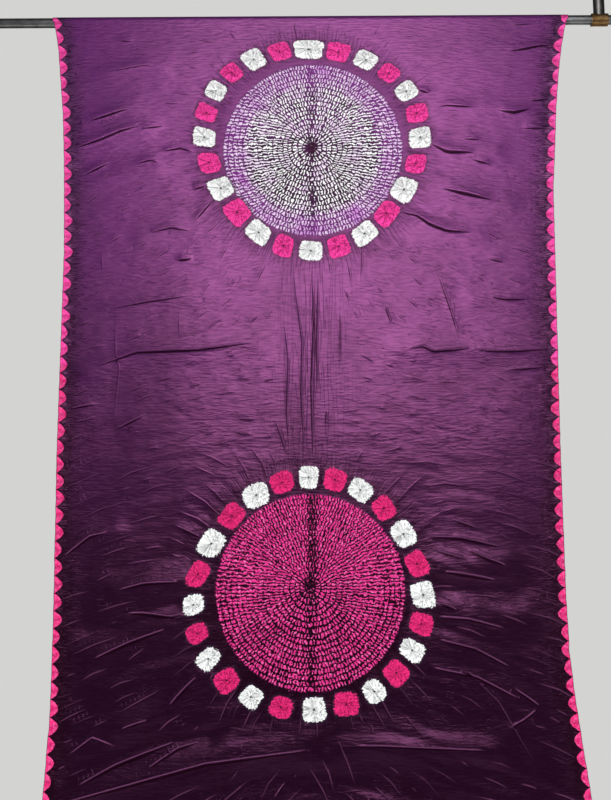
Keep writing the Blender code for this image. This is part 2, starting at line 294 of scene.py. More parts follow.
# ring: the patches' distance from the eye, and turn: how far they slip round it, each as
# (steady, cos, sin, cos 2, sin 2, cos 3, sin 3) terms, in metres and in degrees
UPPER_DISC = Disc(0.001, 0.2745, 0.1735, -0.0040, 0.0005, 0.0010,
                  (0.205, 0.006, -0.001, -0.001, -0.002, -0.009, -0.001),
                  (0.0, -1.0, -3.5, -0.5, 1.0, -0.3, 2.3))
LOWER_DISC = Disc(-0.003, 1.1125, 0.1745, -0.0073, 0.0030, 0.0000,
                  (0.206, -0.012, -0.0025, 0.001, 0.0025, 0.005, 0.001),
                  (-1.9, 0.0, 3.6, 0.6, -0.4, 0.3, -2.5))
DISCS = (UPPER_DISC, LOWER_DISC)
BETWEEN_DISCS = 0.700
RINGS = 18
DASH_PITCH = 0.0057
LEVEL_PITCH = 0.0074
LEVEL_BEND = 0.35                 # how the level lines spread towards the rim
PATCHES = 24
PATCH_HALF_ACROSS = 0.0205
PATCH_HALF_DEEP = 0.0200
PATCH_SPREAD = 0.10               # sizes vary by this share
PATCH_SQUARENESS = (4.4, 3.8)     # upper ring, lower ring
SQUARENESS_SPREAD = 0.25
PATCH_TILT = 9                    # degrees, at most
LOWER_TILT_SHARE = 1.8            # the lower ring's patches lean more
TOP_PATCH_STRETCH = 1.36          # the uppermost patch of the upper ring is a wide one

draw = np.random.default_rng(24)
lower = (RUN > BETWEEN_DISCS).astype(float)


def by_disc(upper_value, lower_value):
    return upper_value + lower * (lower_value - upper_value)


def slow_terms(angle, terms):
    steady, cos1, sin1, cos2, sin2, cos3, sin3 = terms
    return (steady + cos1 * np.cos(angle) + sin1 * np.sin(angle)
            + cos2 * np.cos(2 * angle) + sin2 * np.sin(2 * angle)
            + cos3 * np.cos(3 * angle) + sin3 * np.sin(3 * angle))


off_x = X - by_disc(*[disc.x for disc in DISCS])
off_up = by_disc(*[disc.depth for disc in DISCS]) - RUN
from_eye = np.hypot(off_x, off_up)
clock = np.arctan2(off_x, off_up)                     # 0 at twelve, clockwise
rim = by_disc(*[disc.radius + disc.rim_cos * np.cos(clock) + disc.rim_cos2 * np.cos(2 * clock)
                + disc.rim_sin * np.sin(clock) for disc in DISCS])
ring_place = RINGS * from_eye / rim
level_angle = np.arctan2(off_up, np.abs(off_x))
level_lines = off_up / LEVEL_PITCH * (rim / np.maximum(np.abs(off_x), 0.01)) ** LEVEL_BEND

patch_ring = by_disc(*[slow_terms(clock, disc.ring) for disc in DISCS])
slip = np.radians(by_disc(*[slow_terms(clock, disc.turn) for disc in DISCS]))
patch_step = 2.0 * np.pi / PATCHES
patch_turn = (clock - slip) / patch_step
patch_number = np.round(patch_turn)
across = (patch_turn - patch_number) * patch_step * patch_ring
outward = from_eye - patch_ring
patch_key = (patch_number.astype(int) % PATCHES) + PATCHES * lower.astype(int)
patch_white = (patch_number.astype(int) % 2 == 0).astype(float)

size_across = 1.0 + PATCH_SPREAD * draw.uniform(-1, 1, 2 * PATCHES)
size_deep = 1.0 + PATCH_SPREAD * draw.uniform(-1, 1, 2 * PATCHES)
patch_tilt = np.radians(draw.uniform(-PATCH_TILT, PATCH_TILT, 2 * PATCHES))
patch_tilt[PATCHES:] *= LOWER_TILT_SHARE
size_across[0] = TOP_PATCH_STRETCH
patch_tilt[0] = 0.0
tilt = patch_tilt[patch_key]
patch_u = (across * np.cos(tilt) + outward * np.sin(tilt)) / size_across[patch_key]
patch_w = (outward * np.cos(tilt) - across * np.sin(tilt)) / size_deep[patch_key]
squareness = draw.uniform(1.0 - SQUARENESS_SPREAD, 1.0 + SQUARENESS_SPREAD, 2 * PATCHES)
power = by_disc(*PATCH_SQUARENESS) * squareness[patch_key]
patch_reach = ((np.abs(patch_u) / PATCH_HALF_ACROSS) ** power
               + (np.abs(patch_w) / PATCH_HALF_DEEP) ** power) ** (1.0 / power)
print("patches about %.0f by %.0f mm" % (2000 * PATCH_HALF_ACROSS, 2000 * PATCH_HALF_DEEP))

# %% [markdown]
# ## Crinkles
# Dyed silk-like satin keeps the marks of its ties: small wrinkles that run across the cloth
# and droop towards its edges, and upright ones in the strip between the discs. They are
# drawn with smooth lattice noise, stretched along the way the wrinkles run. Taking the
# noise's distance from its middle value turns soft hills into the thin ridges of crumpled
# cloth.

# %% Noise on a lattice
LATTICE = 256


def lattice_noise(u, v, seed):
    """Smooth noise from 0 to 1, one new value each whole step of u and v."""
    table = np.random.default_rng(seed).random((LATTICE, LATTICE))
    low_u, low_v = np.floor(u).astype(int), np.floor(v).astype(int)
    part_u, part_v = u - low_u, v - low_v
    part_u = part_u ** 3 * (part_u * (6 * part_u - 15) + 10)
    part_v = part_v ** 3 * (part_v * (6 * part_v - 15) + 10)
    a = table[low_u % LATTICE, low_v % LATTICE]
    b = table[(low_u + 1) % LATTICE, low_v % LATTICE]
    c = table[low_u % LATTICE, (low_v + 1) % LATTICE]
    d = table[(low_u + 1) % LATTICE, (low_v + 1) % LATTICE]
    return (a + (b - a) * part_u) * (1 - part_v) + (c + (d - c) * part_u) * part_v


def creased(noise, sharpness):
    """Thin ridges where the noise passes its middle value."""
    return (1.0 - np.abs(2.0 * noise - 1.0)) ** sharpness


# %% Wrinkles across, upright and round the discs
LEVEL_HALF_WIDTH = 0.06           # in the middle of the cloth the wrinkles run level
DROOP = 0.13                      # how fast the wrinkles sink towards the edges
DROOP_BEND = 0.35
SWAY = 0.012
SOFT_HEIGHT = 0.0011
FINE_HEIGHT = 0.0004
BROAD_HEIGHT = 0.0036
FAN_HEIGHT = 0.0008
FAN_PINCH = 0.0006

away_from_middle = np.maximum(np.abs(X) - LEVEL_HALF_WIDTH, 0.0)
flow = RUN - DROOP * away_from_middle - DROOP_BEND * away_from_middle ** 2
flow += SWAY * lattice_noise(X / 0.11, RUN / 0.06, 3)

across_soft = lattice_noise(X / 0.055 + 40, flow / 0.0125, 5) - 0.5
across_fine = lattice_noise(X / 0.030 + 70, flow / 0.0072, 7) - 0.5
across_sharp = creased(lattice_noise(X / 0.070 + 90, flow / 0.021, 11), 7)
across_broad = lattice_noise(X / 0.150 + 10, flow / 0.033, 37) - 0.5
upright_soft = lattice_noise(X / 0.0105 + 60, RUN / 0.110, 13) - 0.5
upright_sharp = creased(lattice_noise(X / 0.017 + 25, RUN / 0.140, 17), 6)

between = smooth_step(RUN, 0.44, 0.54) * (1.0 - smooth_step(RUN, 0.90, 0.96))
above = smooth_step(RUN, 0.015, 0.03) * (1.0 - smooth_step(RUN, 0.06, 0.10))
below = smooth_step(RUN, 1.30, 1.36) * (1.0 - smooth_step(RUN, 1.38, 1.46))
upright = np.exp(-(X / 0.085) ** 2) * between + 0.6 * np.exp(-(X / 0.12) ** 2) * (above + below)
upright = np.clip(upright, 0.0, 1.0)
outside_pattern = smooth_step(from_eye, 0.185, 0.235)
hanging = smooth_step(RUN, -0.02, 0.06)

crinkle = SOFT_HEIGHT * across_soft + FINE_HEIGHT * across_fine + FINE_HEIGHT * across_sharp
crinkle = (crinkle * (1.0 - 0.65 * upright)
           + (0.0009 * upright_soft + FINE_HEIGHT * upright_sharp) * upright)
slack = 0.20 + 1.05 * smooth_step(RUN, 0.35, 1.20)
crinkle += BROAD_HEIGHT * across_broad * smooth_step(RUN, 0.75, 1.15)
crinkle *= slack * (0.45 + 0.55 * outside_pattern) * (0.25 + 0.75 * hanging)

# pleats that fan out from the ties, inside and outside the ring of patches
fan = lattice_noise(clock * 23 + 300, from_eye / 0.045, 19) - 0.5
fan_sharp = creased(lattice_noise(clock * 15 + 200, from_eye / 0.060, 23), 6)
fan_reach = smooth_step(from_eye, 0.165, 0.185) * (1.0 - smooth_step(from_eye, 0.225, 0.330))
fan_side = 0.35 + 0.65 * np.abs(np.sin(clock)) ** 1.5
crinkle += (FAN_HEIGHT * fan - FAN_PINCH * fan_sharp) * fan_reach * fan_side * (RUN > 0.02)
print("crinkles stand up to %.1f mm" % (1000 * np.abs(crinkle).max()))

# %% [markdown]
# ## Creases one by one
# The sharper creases are set where the photograph shows them, each as a path from left to
# right or from top to bottom. The cloth swells to a lip along the path and drops away sharply
# just past it. The material paints a dark shadow there, a slit in the shape of a lens, and a
# painted highlight along the lip. The distance from the path keeps its sign, so that the
# painted slit stays crisp between the points of the sheet.

# %% Place the creases
Crease = namedtuple("Crease", "height path")
# each row in millimetres: height, and the points of the path
CREASE_ROWS = (
    # upper left
    (2, (-377, 53), (-352, 55)),
    (1.4, (-402, 119), (-327, 105), (-305, 109)),
    (2.9, (-430, 220), (-400, 210), (-369, 199), (-354, 195)),
    (3, (-455, 275), (-406, 257), (-368, 240), (-332, 230)),
    (2.2, (-328, 236), (-285, 230)),
    (2.6, (-288, 281), (-252, 275), (-230, 283)),
    (2.4, (-436, 329), (-391, 305)),
    (2.2, (-337, 307), (-309, 299), (-295, 305)),
    (2.2, (-227, 359), (-203, 351)),
    (2.2, (-222, 421), (-191, 383)),
    (2, (-306, 445), (-268, 435), (-232, 443)),
    (3.2, (-255, 500), (-227, 496)),
    # upper right
    (1.6, (392, 24), (431, 22)),
    (3, (382, 80), (413, 75), (441, 69), (468, 67)),
    (3, (207, 158), (227, 165)),
    (2.6, (242, 195), (261, 191), (313, 195)),
    (3.6, (361, 202), (390, 206), (421, 199)),
    (2.4, (422, 183), (457, 179)),
    (2.2, (405, 238), (451, 238)),
    (3.8, (229, 269), (259, 285), (311, 287)),
    (2.4, (292, 259), (323, 261)),
    (2.4, (307, 301), (343, 311)),
    (4, (248, 359), (300, 371), (343, 383)),
    (3.6, (166, 405), (200, 413), (226, 431), (256, 443), (302, 447)),
    (2, (333, 498), (363, 506)),
    # upright, between the discs
    (1.3, (-36, 510), (-30, 576), (-19, 658), (-21, 760), (-14, 886)),
    (1.7, (0, 519), (3, 624), (-2, 740), (1, 886)),
    (1.4, (12, 517), (8, 676), (10, 759)),
    (1.1, (-54, 607), (-45, 693), (-48, 793), (-42, 876)),
    (1, (-70, 804), (-46, 873)),
    (1.1, (53, 589), (52, 712)),
    (1, (66, 496), (75, 552)),
    (1, (95, 464), (92, 549)),
    # the old fold across the middle, and what stands beside it
    (3, (-404, 706), (-369, 693), (-328, 678), (-214, 674), (-108, 660)),
    (2.5, (177, 674), (207, 668), (226, 678), (297, 672)),
    (2.2, (297, 672), (332, 678), (384, 678), (440, 674)),
    (1.8, (-372, 593), (-316, 582), (-233, 570)),
    (0.6, (-372, 566), (-369, 674), (-361, 708), (-368, 797), (-361, 847)),
    (0.7, (-401, 476), (-398, 523)),
    (0.6, (-251, 595), (-250, 657)),
    (2, (-448, 785), (-403, 776)),
    (2, (-361, 823), (-310, 797)),
    (2.4, (335, 572), (361, 578), (406, 578)),
    (1.5, (236, 523), (261, 601), (275, 655)),
    (1.6, (137, 589), (148, 624)),
    (1.8, (361, 714), (435, 708)),
    # lower left
    (3, (-332, 1159), (-302, 1160), (-255, 1166), (-232, 1160)),
    (2.6, (-350, 1118), (-303, 1107), (-240, 1103)),
    (2.8, (-389, 1239), (-331, 1213), (-262, 1187)),
    (2, (-251, 1001), (-203, 1023)),
    (2.2, (-449, 1057), (-403, 1021), (-372, 1014)),
    (2.4, (-252, 1319), (-206, 1271)),
    (2, (-336, 1360), (-290, 1345)),
    (3.2, (-409, 1456), (-345, 1423), (-289, 1401), (-243, 1383)),
    (2.4, (-288, 1427), (-234, 1393), (-201, 1383)),
    (3, (-438, 1486), (-318, 1455), (-187, 1420), (-7, 1396)),
    (1.4, (-430, 1406), (-388, 1376), (-345, 1392)),
    # lower right
    (2.6, (283, 1047), (315, 1062), (349, 1074)),
    (2.6, (211, 1022), (270, 1025), (343, 1041)),
    (1.8, (255, 991), (300, 1007)),
    (2, (221, 1047), (277, 1063)),
    (3, (237, 1085), (330, 1100)),
    (2.6, (228, 1141), (259, 1153)),
    (1.9, (222, 1165), (280, 1170), (346, 1186)),
    (2.1, (224, 1205), (290, 1222), (353, 1254)),
    (1.8, (210, 1254), (290, 1270), (369, 1310)),
    (1.8, (357, 1290), (402, 1321)),
    (1.8, (346, 1359), (372, 1346), (398, 1326)),
    (1.7, (67, 1389), (118, 1389), (224, 1393), (310, 1396)),
    (0.7, (240, 1225), (330, 1315), (400, 1440)),
)
CREASES = [Crease(height / 1000.0, in_metres(path)) for height, *path in CREASE_ROWS]
LIP_WIDTH = 0.012
DROP_WIDTH = 0.0040
HOLLOW_WIDTH = 0.010
HOLLOW_SHARE = 0.40
SLIT_WIDTHS = 0.85                # a slit's half width, in crease heights
SLIT_SIDE = 1.4                   # half widths that a slit reaches to its own side
NO_CREASE = 0.05                  # the distance that points without a crease are given
CREASE_REACH = 0.045
LIP_ROOM = 0.0100
SLIT_ROOM = 0.0070


def beside_path(x, depth, path):
    """Signed distance from a path, and the share of its length passed so far."""
    legs = [math.dist(start, end) for start, end in zip(path, path[1:])]
    nearest = np.full(x.shape, np.inf)
    side = np.zeros(x.shape)
    share = np.zeros(x.shape)
    passed = 0.0
    for start, end, leg in zip(path, path[1:], legs):
        run_x, run_depth = (end[0] - start[0]) / leg, (end[1] - start[1]) / leg
        along = (x - start[0]) * run_x + (depth - start[1]) * run_depth
        past = (depth - start[1]) * run_x - (x - start[0]) * run_depth
        held = np.clip(along, 0.0, leg)
        away = np.hypot(past, along - held)
        closer = away < nearest
        nearest = np.where(closer, away, nearest)
        side = np.where(closer, np.copysign(away, past), side)
        share = np.where(closer, (passed + held) / sum(legs), share)
        passed += leg
    return side, share


creases = np.zeros_like(X)
slit_side = np.full(X.shape, NO_CREASE)
slit_width = np.zeros_like(X)


def press(crease, relief_share):
    """Adds one crease, working only on the rows it can reach."""
    depths = [depth for _, depth in crease.path]
    rows = (row_run > min(depths) - CREASE_REACH) & (row_run < max(depths) + CREASE_REACH)
    side, share = beside_path(X[rows], RUN[rows], crease.path)
    taper = np.sin(np.pi * np.clip(share, 0.0, 1.0)) ** 0.6
    lip = (1.0 - HOLLOW_SHARE) * np.exp(-(side / LIP_WIDTH) ** 2)
    drop = np.exp(-np.abs(side) / DROP_WIDTH) - HOLLOW_SHARE * np.exp(-(side / HOLLOW_WIDTH) ** 2)
    creases[rows] += relief_share * crease.height * taper * np.where(side < 0.0, lip, drop)
    width = SLIT_WIDTHS * crease.height * taper
    wins = width - np.abs(side) > slit_width[rows] - np.abs(slit_side[rows])
    # room for the lip's painted highlight on the one side and for the painted shadow slit
    # on the other, and no more
    wins &= (side > -width - LIP_ROOM) & (side < SLIT_SIDE * width + SLIT_ROOM)
    slit_side[rows] = np.where(wins, side, slit_side[rows])
    slit_width[rows] = np.where(wins, width, slit_width[rows])


for crease in CREASES:
    press(crease, 1.0)
print("%d creases set by hand" % len(CREASES))

# %% [markdown]
# ### Smaller creases by rule
# Hundreds of smaller creases lie between the listed ones, clear of each other. They
# follow three plain rules: across the cloth and sinking towards its edges, upright in the
# strip between the discs, and pointing at the eye of a disc close to its ties. Low down,
# where little weight pulls the cloth flat, long thin ones arch from the ties to the border.

# %% Points that creases already take
STEP_ALONG = 0.006
CLEARANCE = 0.0150                # between one crease and the next


def points_along(path):
    """Points about one step apart on a path."""
    found = []
    for start, end in zip(path, path[1:]):
        steps = max(1, round(math.dist(start, end) / STEP_ALONG))
        parts = np.linspace(0.0, 1.0, steps + 1)[:, None]
        found.append(np.array(start) + (np.array(end) - np.array(start)) * parts)
    return np.concatenate(found)


taken = np.concatenate([points_along(crease.path) for crease in CREASES])
print("the creases set by hand take %d points" % len(taken))

# %% Smaller creases by rule
STRIP_HALF_WIDTH = 0.060          # the strip between the discs
FREE_OF_TIES = 0.233              # no crease's middle lies nearer to a disc's eye
LEFTMOST = -0.455
RIGHTMOST = 0.445
TRIES = 12                        # for each crease wanted
STRIP_TOP = 0.45
STRIP_BOTTOM = 0.95
PULL_FADES = 0.25                 # the pull of the ties weakens from here on
PULL_ENDS_ABOVE = 0.34
PULL_ENDS_BELOW = 0.52            # below a disc the ties pull on the cloth from farther away


def heading_at(x_at, depth_at, away_x, away_depth):
    """The way a crease runs there, as an angle from level."""
    if abs(x_at) < STRIP_HALF_WIDTH and STRIP_TOP < depth_at < STRIP_BOTTOM:
        return math.radians(90.0)
    sinking = math.atan(math.copysign(DROOP + 0.7 * abs(x_at), x_at))
    pointing = math.atan(away_depth / math.copysign(max(abs(away_x), 0.002), away_x))
    farthest = PULL_ENDS_BELOW if away_depth > 0.0 else PULL_ENDS_ABOVE
    pull = 1.0 - smooth_step(math.hypot(away_x, away_depth), PULL_FADES, farthest)
    return pull * pointing + (1.0 - pull) * sinking


def scatter(taken, count, top, bottom, reaches, heights, arch, unrest):
    """Places so many creases at random, turned by the three rules and clear of each other."""
    placed = 0
    for _ in range(TRIES * count):
        x_at, depth_at = draw.uniform(LEFTMOST, RIGHTMOST), draw.uniform(top, bottom)
        disc = UPPER_DISC if depth_at < BETWEEN_DISCS else LOWER_DISC
        away_x, away_depth = x_at - disc.x, depth_at - disc.depth
        if placed == count or math.hypot(away_x, away_depth) < FREE_OF_TIES:
            continue
        reach, height = draw.uniform(*reaches), draw.uniform(*heights)
        heading = heading_at(x_at, depth_at, away_x, away_depth) + draw.normal(0.0, unrest)
        if abs(math.cos(heading)) < 0.1:
            reach, height = 1.6 * reach, 0.6 * height
        bow = reach * (draw.uniform(-0.08, 0.08) - arch)
        run_x, run_depth = reach * math.cos(heading), reach * math.sin(heading)
        path = ((x_at - run_x, depth_at - run_depth),
                (x_at - bow * math.sin(heading), depth_at + bow * math.cos(heading)),
                (x_at + run_x, depth_at + run_depth))
        own = points_along(path)
        if np.hypot(*(own[:, None] - taken[None]).T).min() < CLEARANCE:
            continue
        press(Crease(height, path), 0.2 + 0.8 * min(depth_at, 1.0))
        taken = np.concatenate([taken, own])
        placed += 1
    return taken, placed


taken, long_count = scatter(taken, 150, top=0.88, bottom=1.50, reaches=(0.022, 0.055),
                            heights=(0.0005, 0.0010), arch=0.07, unrest=0.05)
taken, small_count = scatter(taken, 350, top=0.03, bottom=1.50, reaches=(0.005, 0.022),
                             heights=(0.0004, 0.0012), arch=0.0, unrest=0.12)
print("%d long and %d small creases placed" % (long_count, small_count))

# %% [markdown]
# ## Puckers of the ties
# Each ring of stitches leaves a shallow trough, each tied patch a small cushion with a dimple
# where the thread gathered it, and each scallop of the border a low bump.

# %% Puckers
SCALLOP_PITCH = 0.0312
SCALLOP_DEPTH = 0.0150
RING_HEIGHT = 0.00055
STITCH_HEIGHT = 0.0016
LONG_PLEAT_HEIGHT = 0.0015
BORDER_HEIGHT = 0.0014
PATCH_HEIGHT = 0.0021
DIMPLE_DEPTH = 0.0026
DIMPLE_RADIUS = 0.0050
SPOKES = 9                        # small pleats round each dimple
SPOKE_HEIGHT = 0.0004

in_disc = 1.0 - smooth_step(ring_place, RINGS - 0.6, RINGS + 0.6)
rings = -RING_HEIGHT * np.cos(2.0 * np.pi * ring_place) * in_disc
stitch_noise = lattice_noise(off_x / 0.0075 + 50, off_up / 0.0075 + 50, 29) - 0.5
rings += STITCH_HEIGHT * stitch_noise * in_disc
long_pleats = lattice_noise(off_x / 0.045 + 20, off_up / 0.0062 + 80, 31) - 0.5
sideways = np.abs(off_x) / np.maximum(from_eye, 1e-6)
rings += LONG_PLEAT_HEIGHT * long_pleats * in_disc * smooth_step(sideways, 0.55, 0.95)

cushion = PATCH_HEIGHT * (1.0 - smooth_step(patch_reach, 0.35, 1.12))
patch_centre = np.hypot(patch_u, patch_w)
cushion -= DIMPLE_DEPTH * np.exp(-(patch_centre / DIMPLE_RADIUS) ** 2)
spokes = np.cos(SPOKES * np.arctan2(patch_w, patch_u) + 2.3 * patch_key)
cushion += (SPOKE_HEIGHT * spokes * smooth_step(patch_reach, 0.15, 0.5)
            * (1 - smooth_step(patch_reach, 1.0, 1.3)))
cushion *= RUN > 0.02

scallop_bump = (BORDER_HEIGHT * np.exp(-((EDGE - 0.005) / 0.008) ** 2)
                * np.cos(2.0 * np.pi * RUN / SCALLOP_PITCH + (X > 0) * 1.9))
puckers = rings + cushion + scallop_bump * hanging

# %% [markdown]
# ## Build the sheet
# The front hangs before the rod, a short end hangs behind it, and between them the cloth
# turns over the rod. The points are stored with what the dye needs to know about them, so
# that the material can work from real distances on the cloth.

# %% Points and faces
HEM_WIDTH = 0.009
HEM_HEIGHT = 0.0010

side_front = RELIEF + crinkle + creases + puckers * smooth_step(RUN, 0.0, 0.03)
side_front += HEM_HEIGHT * (RUN > FRONT_FALL - HEM_WIDTH)
side_front *= smooth_step(DEPTH, ROD_RADIUS, 0.035)
side_back = (0.003 + 0.003 * np.sin(2.0 * np.pi * X / 0.23 + 1.0)) * smooth_step(
    DEPTH, SMOOTH_TO, BACK_FALL) + np.abs(crinkle) * smooth_step(DEPTH, ROD_RADIUS, 0.04)

Y = -WRAP_RADIUS - side_front
Z = ROD_TOP_Z - DEPTH
Y[:BACK_STEPS] = WRAP_RADIUS + side_back[:BACK_STEPS]
wrap_rows = slice(BACK_STEPS, BACK_STEPS + WRAP_STEPS + 1)
Y[wrap_rows] = (-WRAP_RADIUS * np.cos(wrap_angle))[:, None]
Z[wrap_rows] = (ROD_AXIS_Z + WRAP_RADIUS * np.sin(wrap_angle))[:, None]

points = np.stack([X, Y, Z], axis=-1).reshape(-1, 3)
number = np.arange(X.size).reshape(X.shape)
quads = np.stack([number[:-1, :-1], number[1:, :-1], number[1:, 1:], number[:-1, 1:]],
                 axis=-1).reshape(-1, 4)
sheet_mesh = bpy.data.meshes.new("bandhani_cloth")
sheet_mesh.from_pydata(points.tolist(), [], quads.tolist())
sheet_mesh.shade_smooth()


def keep_on_points(name, *values):
    """Stores up to three numbers on each point of the sheet, for the material to read."""
    layer = sheet_mesh.attributes.new(name, "FLOAT_VECTOR", "POINT")
    stored = np.zeros(X.shape + (3,), np.float32)
    for place, value in enumerate(values):
        stored[..., place] = value
    layer.data.foreach_set("vector", stored.ravel())


keep_on_points("cloth_place", X, RUN, EDGE)
keep_on_points("disc_place", ring_place, level_angle, lower)
keep_on_points("patch_place", patch_u, patch_w, patch_reach)
keep_on_points("patch_kind", patch_white, np.clip(off_up / 0.2, -1, 1), from_eye)
keep_on_points("crease_place", slit_side, slit_width, upright)
keep_on_points("line_place", level_lines, flow)
cloth = bpy.data.objects.new("bandhani_cloth", sheet_mesh)
bpy.context.scene.collection.objects.link(cloth)
print("cloth has %d triangles" % (2 * len(quads)))

# %% [markdown]
# ## Dyes
# Colours are written as sRGB hex, the way a dyer's card would be scanned, and turned to the
# linear values that the renderer adds up. One small function adds every node: what it is,
# what goes into it, and its settings. What comes out can be added and multiplied like any
# number, and each such sum becomes a node of the material as well.

# %% Helpers for materials


def linear(hex_colour):
    channels = [int(hex_colour[i:i + 2], 16) / 255.0 for i in (1, 3, 5)]
    return tuple(c / 12.92 if c <= 0.04045 else ((c + 0.055) / 1.055) ** 2.4
                 for c in channels) + (1.0,)


def new_material(name):
    made = bpy.data.materials.new(name)
    made.use_nodes = True
    return made


class Value:
    """What a node gives. Sums with it are worked out by the cloth's material."""

    def __init__(self, socket):
        self.socket = socket

    def __add__(self, other):
        return calc("ADD", self, other)

    def __sub__(self, other):
        return calc("SUBTRACT", self, other)

    def __rsub__(self, other):
        return calc("SUBTRACT", other, self)

    def __mul__(self, other):
        return calc("MULTIPLY", self, other)

    def __truediv__(self, other):
        return calc("DIVIDE", self, other)

    def __abs__(self):
        return calc("ABSOLUTE", self)


def set_inputs(tree, node, inputs):
    """Sets a node's inputs, in order or by name, and links those that another node gives."""
    pairs = inputs.items() if isinstance(inputs, dict) else enumerate(inputs)
    for place, value in pairs:
        if isinstance(value, Value):
            tree.links.new(value.socket, node.inputs[place])
        elif value is not None:
            node.inputs[place].default_value = value


def add_node(tree, kind, inputs=(), out=0, **settings):
    """Adds a node with its settings and inputs, and gives one of its outputs."""
    made = tree.nodes.new("ShaderNode" + kind)
    for name, value in settings.items():
        setattr(made, name, value)
    set_inputs(tree, made, inputs)
    return Value(made.outputs[out])


# %% [markdown]
# ## Dyed satin
# The cloth is a soft satin of viscose or silk: long floats of smooth thread give a coloured,
# broad gloss where light strikes along the upright pull of the weave, and stitch-resist dye
# leaves undyed dashes between inked gaps. The ring and dash pattern comes from the stored
# ring place and angle: rings repeat about every 10 mm, dashes every 6 mm along a ring. At the
# sides of a disc the rings fade and the dashes run together into long level lines, because
# the cloth was pleated across its fold.

# %% The cloth's material
satin = new_material("dyed_satin")
tree = satin.node_tree


def read(name):
    """The three numbers that the sheet's points keep under one name."""
    made = tree.nodes.new("ShaderNodeSeparateXYZ")
    set_inputs(tree, made, [add_node(tree, "Attribute", attribute_name=name, out="Vector")])
    return [Value(output) for output in made.outputs]


x, run, edge = read("cloth_place")
ring_at, angle, is_lower = read("disc_place")
in_u, in_w, reach = read("patch_place")
is_white, up_share, from_centre = read("patch_kind")
slit_at, slit_half, is_upright = read("crease_place")
level_line, droop_run, _ = read("line_place")
flat = add_node(tree, "CombineXYZ", (x, run, 0.0))


def calc(operation, *inputs, clamp=False):
    """One arithmetic step, named after the operation."""
    return add_node(tree, "Math", inputs, operation=operation, use_clamp=clamp)


def ramp(value, low, high, to_low=0.0, to_high=1.0):
    """A smooth step of a value between two bounds."""
    return add_node(tree, "MapRange", (value, low, high, to_low, to_high),
                    interpolation_type="SMOOTHSTEP")


def blend(share, first, second):
    return add_node(tree, "Mix", {0: share, 6: first, 7: second}, out=2, data_type="RGBA")


def noise(scale, detail=2.0, stretch=(1.0, 1.0, 1.0), shift=0.0):
    spread = add_node(tree, "Mapping", {"Vector": flat, "Scale": stretch,
                                        "Location": (shift, shift, 0.0)})
    return add_node(tree, "TexNoise", {"Vector": spread, "Scale": scale, "Detail": detail})


# %% Rings and dashes
RING_PITCH = UPPER_DISC.radius / RINGS
STEEP_FROM = 0.74                 # radians; flatter parts of a disc show level lines
LOWER_STEEP = 0.22                # the lower disc's rings begin so much sooner
MIDDLE_RINGS = 5.0                # near the eye the dashes always lie in rings

wobble_a = noise(70.0) - 0.5
wobble_b = noise(110.0, shift=3.0) - 0.5
speckle = noise(300.0, 1.0, shift=7.0) - 0.5
patchy = noise(28.0, shift=11.0) - 0.5

ring_q = ring_at + wobble_a
ring_index = calc("FLOOR", ring_q)
ring_part = calc("FRACT", ring_q)
ring_mid = (ring_index + 0.5) * RING_PITCH
steepness = abs(angle) + patchy * 0.9 + wobble_b * 1.3
is_steep = calc("GREATER_THAN", steepness, STEEP_FROM - is_lower * LOWER_STEEP)
is_middle = calc("LESS_THAN", ring_at, MIDDLE_RINGS)
is_ringed = calc("MAXIMUM", is_steep, is_middle)

steep_turn = angle * ring_mid / DASH_PITCH
dash_turn = add_node(tree, "Mix", (is_ringed, None, level_line, steep_turn))
dash_wave = calc("COSINE", (dash_turn + wobble_b * 1.9) * math.tau)
fused = is_lower * ramp(up_share, -0.2, 0.15)
gap_from = 0.33 - (is_lower - fused) * 0.08
ring_gap = ramp(abs(ring_part - 0.5), gap_from, 0.5)
near_rim = ramp(ring_at, 12.5, 14.5)
ring_pull = calc("MAXIMUM", is_ringed * 1.1, near_rim * 0.8)
ring_pull = (ring_pull + ramp(ring_at, 3.0, 11.0, 1.5, 0.75)) * (1.0 - fused * 0.55)
dash_value = dash_wave - ring_gap * ring_pull + (0.16 - is_lower * 0.02)
dash_value = dash_value + speckle * (is_lower * 1.6 + 1.8) + wobble_a * 1.5 + patchy * 1.3

# the folded centre line took more ink, and so did the gathered eye
fold_band = 1.0 - ramp(abs(x), 0.003, 0.015)
above_eye = ramp(up_share, -0.05, 0.1)
band_pull = is_lower * above_eye * 0.45 + 0.5
eye_pull = 1.0 - ramp(ring_at, 0.3, 2.6)
dash_value = dash_value - fold_band * band_pull - eye_pull * 0.8
bare = ramp(dash_value, -0.1 - is_lower * 0.7, is_lower * 0.4 + 0.5)
in_disc_mask = 1.0 - ramp(ring_at + wobble_b * 0.9, RINGS - 0.35, RINGS + 0.1)
print("rings %.1f mm apart, dashes %.1f mm apart" % (1000 * RING_PITCH, 1000 * DASH_PITCH))

# %% [markdown]
# ### Fine pleats
# Between the creases lie faint pinched lines a millimetre or two wide. They run across the
# cloth, crowd together beside the border where the stitches pulled it, and stand upright
# between the discs. Each line is where a noise passes its middle value, so the same value
# gives both its small valley and the painted shade in it. The larger creases come with the
# sheet: their stored distance gives a slit painted dark as shadow and, beside it, a sharp lip
# that stands up in the bump and carries a painted highlight.

# %% Lines where the cloth is pinched
SLIT_SHIFT = 0.35                 # half widths that the slit moves off the crease's path
LIP_AWAY = 0.0014
LIP_HALF_WIDTH = 0.0020


def pinched(length, spacing, share, along=x, down=droop_run, shift=0.0):
    """Lines about so long and so far apart, 1 on a line and 0 beside it."""
    where = add_node(tree, "CombineXYZ",
                     (along * (1.0 / length) + shift, down * (1.0 / spacing), shift))
    value = add_node(tree, "TexNoise", {"Vector": where, "Scale": 1.0, "Detail": 0.5})
    return ramp(abs(value - 0.5), 0.0, share, 1.0, 0.0)


